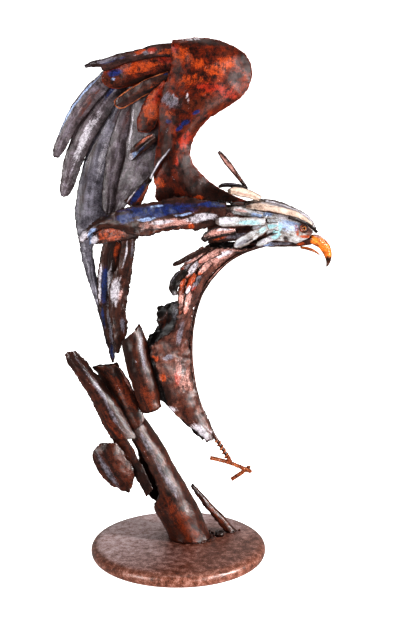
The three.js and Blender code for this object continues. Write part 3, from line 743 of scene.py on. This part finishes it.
def throat_strip():
    """A trough of sheet under the jaw, from the top of the flank to the bill."""
    bpy.ops.mesh.primitive_grid_add(x_subdivisions=60, y_subdivisions=20, size=1)
    piece = bpy.context.object
    piece.name = "throat_strip"
    flat = points_of(piece)
    u, v = flat[:, 0] + 0.5, flat[:, 1] * 2
    x = THROAT_START + THROAT_LENGTH * u
    keel = np.interp(x, [96, 115, 140, 160, 183], [443, 448, 448.5, 448.5, 451])
    half = np.interp(x, [96, 120, 150, 183], [13, 12, 11, 4])
    rise = np.interp(x, [96, 130, 160, 183], [11, 9, 8, 9])
    set_points(piece, np.column_stack([x, half * v, keel + rise * np.abs(v) ** 1.6]) * MM)
    rim = np.minimum((1 - np.abs(v)) * 14, THROAT_LENGTH * np.minimum(u, 1 - u))
    set_place(piece, rim, (1 - u) * THROAT_LENGTH, half * v, v)
    for each in THROAT:
        patch(piece, *each)
    bumpy = points_of(piece)
    set_points(piece, bumpy + wander(bumpy, 9, 57) * 0.7 * MM + wander(bumpy, 4, 58) * 0.3 * MM)
    finish_modifier(piece, "SOLIDIFY", thickness=1.6 * MM, offset=0.0)
    piece.data.materials.append(MATERIALS["limb"])
    bpy.ops.object.shade_smooth_by_angle(angle=SMOOTH_ANGLE)
    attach(piece, "root")


throat_strip()
print("throat strip under the jaw")

# %% Bill and eyes
BILL = [
    ("dark", 205, 424, 20, 12, 80, 1.1), ("dark", 198, 430, 12, 5, 70, 0.9),
    # The pink stroke along the bill is a painted highlight.
    ("pink", 190, 464, 22, 5, -18, 0.9), ("white", 199, 459, 10, 3, -40, 0.8),
    ("brown", 184, 451, 20, 3, -10, 0.9), ("brown", 180, 459, 5, 14, 0, 0.8),
]
make_sheet("beak_upper", "beak", 2, seed=51, torn=0, dents=((10, 0.35),), patches=BILL)
make_sheet("beak_lower", "beak", 2, seed=52, torn=0, dents=((10, 0.3),), patches=[
    ("white", 180, 450, 24, 4, -14)])
EYE = (171, 21.5, 477)
EYE_RADIUS_MM = 4


def eye_enamel():
    """Amber glass enamel with a black pupil, in rings round the middle of the eye."""
    material, tree, shader = new_material("eye_enamel")
    place = node(tree, "TexCoord").outputs["Object"]
    flat = node(tree, "VectorMath", {0: place, 1: (1, 0, 1)}, operation="MULTIPLY").outputs[0]
    centre = (EYE[0] * MM, 0, EYE[2] * MM)
    away = node(tree, "VectorMath", {0: flat, 1: centre}, operation="DISTANCE").outputs["Value"]
    ring = maths(tree, "MULTIPLY", away, 1 / (EYE_RADIUS_MM * MM))
    ring = maths(tree, "ADD", ring, maths(tree, "MULTIPLY", grain(tree, place, 1, 2, 0.6), 0.1))
    stops = [(0.4, "#050303"), (0.48, "#8a4a16"), (0.66, "#b8742c"), (0.8, "#1c0d08")]
    tree.links.new(ramp(tree, ring, stops), shader.inputs["Base Color"])
    set_values(shader, {"Roughness": 0.12, "Coat Weight": 1.0})
    return material


MATERIALS["eye"] = eye_enamel()
for side, sign in (("near", -1), ("far", 1)):
    make_sheet("eye_" + side, "eye", 2, seed=53, torn=0, dents=())
    place = (EYE[0] * MM, sign * (EYE[1] + 0.6) * MM, EYE[2] * MM)
    bpy.ops.mesh.primitive_torus_add(
        location=place, rotation=(math.pi / 2, 0, 0), major_radius=5.2 * MM, minor_radius=1.3 * MM,
        major_segments=36, minor_segments=10,
    )
    lid = bpy.context.object
    lid.name = "eyelid_" + side
    bpy.ops.object.transform_apply(location=True, rotation=True, scale=True)
    measure_round(lid)
    patch(lid, "orange", EYE[0] - 4, EYE[2] - 1, 4, 9, 0)
    lid.data.materials.append(MATERIALS["limb"])
    bpy.ops.object.shade_smooth()
    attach(lid, "root")
print("bill, eyes and eyelids")

# %% [markdown]
# ## The stump
# Split pipe and gutter, cut with a torch and leaned together like a broken trunk. The heat turned the steel
# brown and rust orange, and the lacquer over it gives long grey highlights, helped by painted highlights:
# faint grey strips along the pipes and the lobe, and a thin pink line on the rim of the middle sheet. A lobe
# of plate and a strap hang on the left, and a small gutter props the foot on the right.

# %% Stump pieces
# The grey touches on the pipes, the gutter and the lobe are painted highlights where the lamp's highlights
# fall, and the thin pink line on the edge of the middle sheet is a painted highlight on its rim.
make_sheet("stump_main_pipe", "stump", 2, seed=61, torn=1.2, dents=((30, 1.4), (9, 0.6)), patches=[
    ("rust", 2, 60, 60, 22, -58, 0.9), ("rust", 22, 34, 30, 22, -60, 0.85),
    ("dark", -10, 92, 40, 7, -58, 0.9), ("grey", -16, 118, 70, 9, -62, 0.75),
    ("grey", -44, 170, 40, 9, -60, 0.8)])
make_sheet("stump_left_gutter", "stump", 2, seed=62, torn=1.4, dents=((30, 1.6), (9, 0.7)), touches=[
    ("dark", 0.1, 0, 26, 30, 0.8), ("grey", 0.5, 0.35, 120, 7, 0.8), ("rust", 0.8, -0.4, 50, 9, 0.85),
    ("dark", 0.5, 0.8, 120, 5)])
make_sheet("stump_middle_sheet", "stump", 2, seed=63, torn=1.2, dents=((26, 1.6), (9, 0.7)), touches=[
    ("rust", 0.5, 0.1, 60, 16, 0.85), ("dark", 0.5, -0.9, 90, 8), ("pink", 0.35, 0.95, 56, 3, 0.9)])
make_sheet("stump_short_pipe", "stump", 2, seed=64, torn=1.0, dents=((26, 1.6), (9, 0.7)), touches=[
    ("dark", 0.3, -0.6, 70, 14), ("rust", 0.8, 0.1, 40, 20, 0.8), ("grey", 0.3, 0.55, 70, 6, 0.85)])
make_sheet("stump_lobe_plate", "stump", 3, seed=65, torn=1.2, dents=((20, 1.6), (7, 0.8)), touches=[
    ("grey", 0.45, -0.5, 60, 10, 0.85), ("brown", 0.5, 0.5, 50, 18), ("dark", 0.5, -0.05, 66, 4, 0.8)])
make_sheet("stump_strap", "stump", 3, seed=66, torn=1.2, touches=[
    ("dark", 0.75, 0, 50, 20), ("brown", 0.3, 0.2, 34, 8)])
make_sheet("stump_prop_gutter", "stump", 2, seed=67, torn=1.4, dents=((14, 1.2), (6, 0.6)), touches=[
    ("rust", 0.6, 0, 40, 6, 0.8)])
make_sheet("stump_foot_ring", "stump", 1, seed=68, torn=0.2, dents=())

# %% [markdown]
# ## Layered scales
# More feathers are cut from scrap and tack-welded over the flank and the cheek, each overlapping the next. A
# scale is a thin leaf laid on the sheet below, with its root down on it and its tip lifted clear.

# %% Scales laid on a sheet
SKIN_GAP_MM = 0.9
FAR_OUTSIDE, JUST_OUTSIDE = -0.3, -0.03


def skin_depth(surface, x, z):
    """How deep the surface lies at x, z, seen from the near side."""
    hit, place, _, _ = surface.ray_cast(Vector((x, FAR_OUTSIDE, z)), Vector((0, 1, 0)))
    if not hit:
        _, place, _, _ = surface.closest_point_on_mesh(Vector((x, JUST_OUTSIDE, z)))
    return place.y


def scale(name, surface, root, length, width, angle, touches, material, slot, seed, lift):
    """A torn leaf of sheet on the near side of a surface. root is (x, z), and sizes are in mm."""
    bpy.ops.mesh.primitive_grid_add(x_subdivisions=22, y_subdivisions=12, size=1)
    piece = bpy.context.object
    piece.name = name
    flat = points_of(piece)
    u, v = flat[:, 0] + 0.5, flat[:, 1] * 2
    outline = np.sqrt(np.clip(1 - u, 0, 1)) ** 0.8 * (0.72 + 0.5 * u)
    across = v * outline * width / 2
    turn = math.radians(angle)
    x = (root[0] + u * length * math.cos(turn) - across * math.sin(turn)) * MM
    z = (root[1] + u * length * math.sin(turn) + across * math.cos(turn)) * MM
    y = np.array([skin_depth(surface, *place) for place in zip(x, z)])
    y = np.minimum(y, np.percentile(y, 80)) - (SKIN_GAP_MM + lift * u**2 + 0.8 * (1 - v**2)) * MM
    set_points(piece, np.column_stack([x, y, z]))
    rim = np.minimum((1 - np.abs(v)) * np.maximum(outline * width / 2, 0.5), (1 - u) * length)
    set_place(piece, rim, u * length, across, v)
    for each in touches:
        touch(piece, *each)
    moved = points_of(piece) + wander(points_of(piece), 8, seed) * 0.5 * MM
    moved += wander(moved, 3.0, seed + 3) * np.exp(-rim / 2)[:, None] * 1.5 * MM
    set_points(piece, moved)
    finish_modifier(piece, "SOLIDIFY", thickness=1.2 * MM, offset=0.0)
    piece.data.materials.append(MATERIALS[material])
    bpy.ops.object.shade_smooth_by_angle(angle=SMOOTH_ANGLE)
    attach(piece, "root")


# %% Scales of the flank and the cheek
flank = scene.objects["flank_near_metal"]
FLANK_SCALES = [
    ((38, 449), 34, 15, 214, [("pink", 0.5, 0, 34, 11), ("white", 0.7, -0.3, 16, 5)]),
    ((58, 447), 34, 15, 208, [("pink", 0.5, 0, 34, 11), ("red", 0.8, 0.3, 12, 8)]),
    ((30, 434), 30, 14, 232, [("white", 0.5, 0, 26, 7), ("orange", 0.9, 0, 14, 12)]),
    ((46, 432), 26, 13, 226, [("pink", 0.4, 0, 24, 9), ("orange", 0.9, 0, 12, 10)]),
    ((24, 416), 30, 13, 246, [("orange", 0.4, 0, 26, 10), ("white", 0.8, 0.2, 14, 5)]),
    ((32, 414), 26, 12, 240, [("grey", 0.4, 0, 22, 7), ("red", 0.8, 0, 12, 8)]),
    ((18, 392), 34, 13, 256, [("pink", 0.5, 0, 30, 8), ("orange", 0.8, 0, 12, 10)]),
]
for index, row in enumerate(FLANK_SCALES):
    scale(f"flank_scale_{index}", flank, *row, "body", "maroon_painted_sheet", 70 + index, 2.5)
head_skin = scene.objects["head_near_metal"]
CHEEK_SCALES = [
    ((134, 494), 32, 13, 172, [("pale_blue", 0.4, 0, 16, 5), ("white", 0.8, 0, 12, 6)]),
    ((136, 480), 36, 14, 183, [("cyan", 0.4, 0, 22, 6), ("white", 0.8, 0.2, 12, 5)]),
    ((137, 467), 34, 13, 204, [("white", 0.4, 0, 22, 6), ("cyan", 0.15, 0, 12, 6)]),
]
for index, row in enumerate(CHEEK_SCALES):
    scale(f"cheek_scale_{index}", head_skin, *row, "plume", "white_painted_sheet", 90 + index, 0.5)
print(len(FLANK_SCALES) + len(CHEEK_SCALES), "scales")

# %% [markdown]
# ## Welds, wire and rod
# Every seam carries beads of weld and spatter. The claw is twisted tie wire and hangs from a wire-bound leg,
# and the rimmed covert has a rusty wire brazed round it.

# %% Wires


def wire(name, points, radius, material, closed=False, turns=0, offset=0.0):
    """A round wire through points in mm. With turns it winds round that line at offset mm from it."""
    path = bpy.data.curves.new(name, "CURVE")
    path.dimensions = "3D"
    path.bevel_depth = radius * MM
    path.bevel_resolution = 2
    path.use_fill_caps = True
    spline = path.splines.new("POLY")
    stations = [Vector(p) for p in points]
    if turns:
        stations = wind(stations, turns, offset, phase=radius)
    spline.points.add(len(stations) - 1)
    for point, place in zip(spline.points, stations):
        point.co = (*(place * MM), 1)
    spline.use_cyclic_u = closed
    piece = bpy.data.objects.new(name, path)
    scene.collection.objects.link(piece)
    work_on(piece)
    bpy.ops.object.convert(target="MESH")
    piece = bpy.context.object
    measure_round(piece)
    set_points(piece, points_of(piece) + wander(points_of(piece), 5, len(points)) * 0.35 * MM)
    piece.data.materials.append(MATERIALS[material])
    bpy.ops.object.shade_smooth()
    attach(piece, "root")
    return piece


def wind(stations, turns, offset, phase):
    """Points that wind round the line through the stations."""
    wound = []
    steps = 14 * turns
    for step in range(steps + 1):
        t = step / steps * (len(stations) - 1)
        first = min(int(t), len(stations) - 2)
        way = stations[first + 1] - stations[first]
        side = way.cross(Vector((0, 1, 0))).normalized()
        up = way.cross(side).normalized()
        angle = 2 * math.pi * turns * step / steps + phase
        middle = stations[first].lerp(stations[first + 1], t - first)
        wound.append(middle + offset * (math.cos(angle) * side + math.sin(angle) * up))
    return wound


STRAND_RADII, STRAND_OFFSET = (1.9, 1.7), 1.3
CLAW = {
    "claw_toe_bar": ([(46, -6, 147), (59, -6, 144), (72, -5.5, 140), (88, -5, 133), (103, -5, 126)], 9),
    "claw_cross_bar": ([(76, 4, 112), (87, 2, 120), (101, 0, 132)], 5),
}
for node_name, (points, turns) in CLAW.items():
    for number, radius in enumerate(STRAND_RADII):
        strand = wire(
            f"{node_name}_strand_{number}", points, radius, "rod",
            turns=turns, offset=STRAND_OFFSET * (1 - 2 * number),
        )
        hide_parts(node_name)
LEG = [(54, -1, 172), (60, -1, 162), (66, -1, 152), (72, -3, 142), (73, -4, 137)]
wire("leg_wire", LEG, 1.3, "rod", turns=7, offset=3.0)
RIM_LOOP = [(-79, 35, 632), (-84, 35, 636), (-85, 35, 642), (-81, 34.5, 646), (-68, 33, 656), (-54, 31, 664),
            (-41, 30, 671), (-26, 28.5, 677), (-12, 27, 682), (-10, 27, 672), (-22, 28, 661), (-33, 29, 655),
            (-47, 31, 648), (-60, 33, 640), (-72, 34, 633)]
wire("rimmed_covert_wire", RIM_LOOP, 0.95, "rod", closed=True)
print(2 * len(CLAW) + 2, "wires")

# %% Weld beads
RNG = np.random.default_rng(7)


def beads(name, points, count, size, material="black", slot="blackened_sheet"):
    """Blobs of weld along a line through points in mm."""
    stations = np.array(points, float)
    made = []
    for place in np.linspace(0, len(stations) - 1, count):
        middle = [np.interp(place, range(len(stations)), stations[:, axis]) for axis in range(3)]
        middle = np.array(middle) + RNG.normal(0, size * 0.35, 3)
        radius = size * RNG.uniform(0.5, 1.1) * MM
        bpy.ops.mesh.primitive_ico_sphere_add(subdivisions=2, radius=radius, location=middle * MM)
        bpy.context.object.scale = RNG.uniform(0.7, 1.3, 3)
        made.append(bpy.context.object)
    bpy.ops.object.select_all(action="DESELECT")
    for each in made:
        each.select_set(True)
    bpy.context.view_layer.objects.active = made[0]
    bpy.ops.object.join()
    piece = bpy.context.object
    piece.name = name
    bpy.ops.object.transform_apply(location=True, rotation=True, scale=True)
    measure_round(piece)
    piece.data.materials.append(MATERIALS[material])
    bpy.ops.object.shade_smooth()
    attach(piece, "root")


FOOT_RING = [(22 + 30 * math.cos(a), 14 + 27 * math.sin(a), 22) for a in np.linspace(0, 2 * math.pi, 25)]
WELDS = [
    ("foot_weld", FOOT_RING, 70, 1.8, "stump", "torched_pipe"),
    ("prop_weld", [(70, 32, 22.5), (80, 30, 22.5), (88, 36, 22.5)], 12, 1.5, "stump", "torched_pipe"),
    (
        "gutter_weld", [(-99, -12, 254), (-88, -13, 236), (-77, -14, 219), (-66, -14, 199), (-58, -14, 182)],
        26, 1.0,
    ),
    ("lobe_weld", [(-86, -20, 174), (-73, -20, 156), (-64, -20, 141)], 16, 1.3, "stump", "torched_pipe"),
    ("strap_weld", [(-96, -16, 181), (-84, -17, 180), (-72, -17, 179)], 12, 1.4),
    ("nape_weld", [(56, -3, 510), (66, -3, 509), (74, -3, 509)], 12, 2.2),
    ("wrist_weld", [(-77, 16, 487), (-70, 16, 488), (-64, 16, 490)], 10, 2.2),
    ("flank_weld", [(-34, -27, 318), (-30, -27, 290), (-25, -25, 262), (-20, -22, 236)], 22, 1.2),
    ("leg_weld", [(70, -3, 147), (72, -4, 143), (73, -5, 138)], 9, 2.2, "rod", "rusted_steel"),
    ("claw_weld", [(95, -4, 130), (99, -3, 128)], 5, 2.4, "rod", "rusted_steel"),
]
for weld in WELDS:
    beads(*weld)
print(len(WELDS), "rows of weld beads")

# %% [markdown]
# ## The base
# A thick round plate with a full rim, rusted evenly and then oiled and lacquered. The left and back of the
# top are painted greyish pink, a painted reflection of the pale studio, and rust brown is left round the foot
# of the stump, on the right and on the rim.

# %% Base
BASE_TOP_MM = 18.5
STUMP_FOOT = (22, 12)


def rusted_plate():
    """Rusted plate, painted greyish pink as a reflection of the pale studio where the top's reflection number
    is high.
    """
    material, tree, shader = new_material("rusted_base_plate")
    place = node(tree, "TexCoord").outputs["Object"]
    fine = grain(tree, place, 1.4, 4, 0.7)
    blotch = grain(tree, place, 9, 6, 0.75)
    shade = mix_numbers(tree, 0.4, blotch, fine)
    # The greyish pink of the painted reflection, laid over the rust.
    top = ramp(tree, shade, [(0.4, "#8a6258"), (0.5, "#b89c9a"), (0.6, "#d0bcbd")])
    rust = ramp(tree, shade, [(0.4, "#3a1b0d"), (0.5, "#6f3c27"), (0.6, "#99624a")])
    ragged = maths(tree, "MULTIPLY", maths(tree, "SUBTRACT", shade, 0.5), 2.0)
    cover = maths(tree, "ADD", attribute(tree, "painted_reflection_top"), ragged, clamp=True)
    colour = mix(tree, cover, rust, top)
    pits = pits_in(tree, place, 2.4, 0.66)
    colour = mix(tree, maths(tree, "MULTIPLY", pits, 0.6), colour, rgb(EDGE_BROWN))
    tree.links.new(colour, shader.inputs["Base Color"])
    set_values(shader, {"Metallic": 0.15, "Roughness": 0.42, "Coat Weight": 1.0, "Coat Roughness": 0.18})
    relief = maths(tree, "SUBTRACT", fine, maths(tree, "MULTIPLY", pits, 0.6))
    height = node(tree, "Bump", {"Height": relief, "Strength": 0.5, "Distance": 0.6 * MM})
    tree.links.new(height.outputs[0], shader.inputs["Normal"])
    tree.links.new(height.outputs[0], shader.inputs["Coat Normal"])
    return material


base = sheet_from("base_disc", 2, cut_angle=80)
points = points_of(base) / MM
from_foot = np.hypot(points[:, 0] - STUMP_FOOT[0], points[:, 1] - STUMP_FOOT[1])
# Painted reflection: pale greyish pink on the left and back of the top, kept off the foot of the stump and
# the rim.
reflection_side = np.clip(0.58 - (points[:, 0] - points[:, 1]) / 200, 0.05, 1)
on_top = np.clip((points[:, 2] - BASE_TOP_MM) / 2, 0, 1)
painted_reflection_top = on_top * np.clip((from_foot - 30) / 40, 0, 1) * reflection_side
set_number(base, "painted_reflection_top", painted_reflection_top)
base.data.materials.append(rusted_plate())
work_on(base)
bpy.ops.object.shade_smooth_by_angle(angle=math.radians(35))
print("base:", len(base.data.polygons), "faces")

# %% [markdown]
# ## The floor
# The sweep is matt and glows a little, so that it stays white behind the dark metal.

# %% Floor finish
FLOOR_GREY, WHITE = (0.9, 0.9, 0.9, 1), (1, 1, 1, 1)
material, _, shader = new_material("pale_floor")
set_values(
    shader, {"Base Color": FLOOR_GREY, "Roughness": 0.9, "Emission Color": WHITE, "Emission Strength": 0.9},
)
floor.data.materials.append(material)
print("floor finished:", material.name)
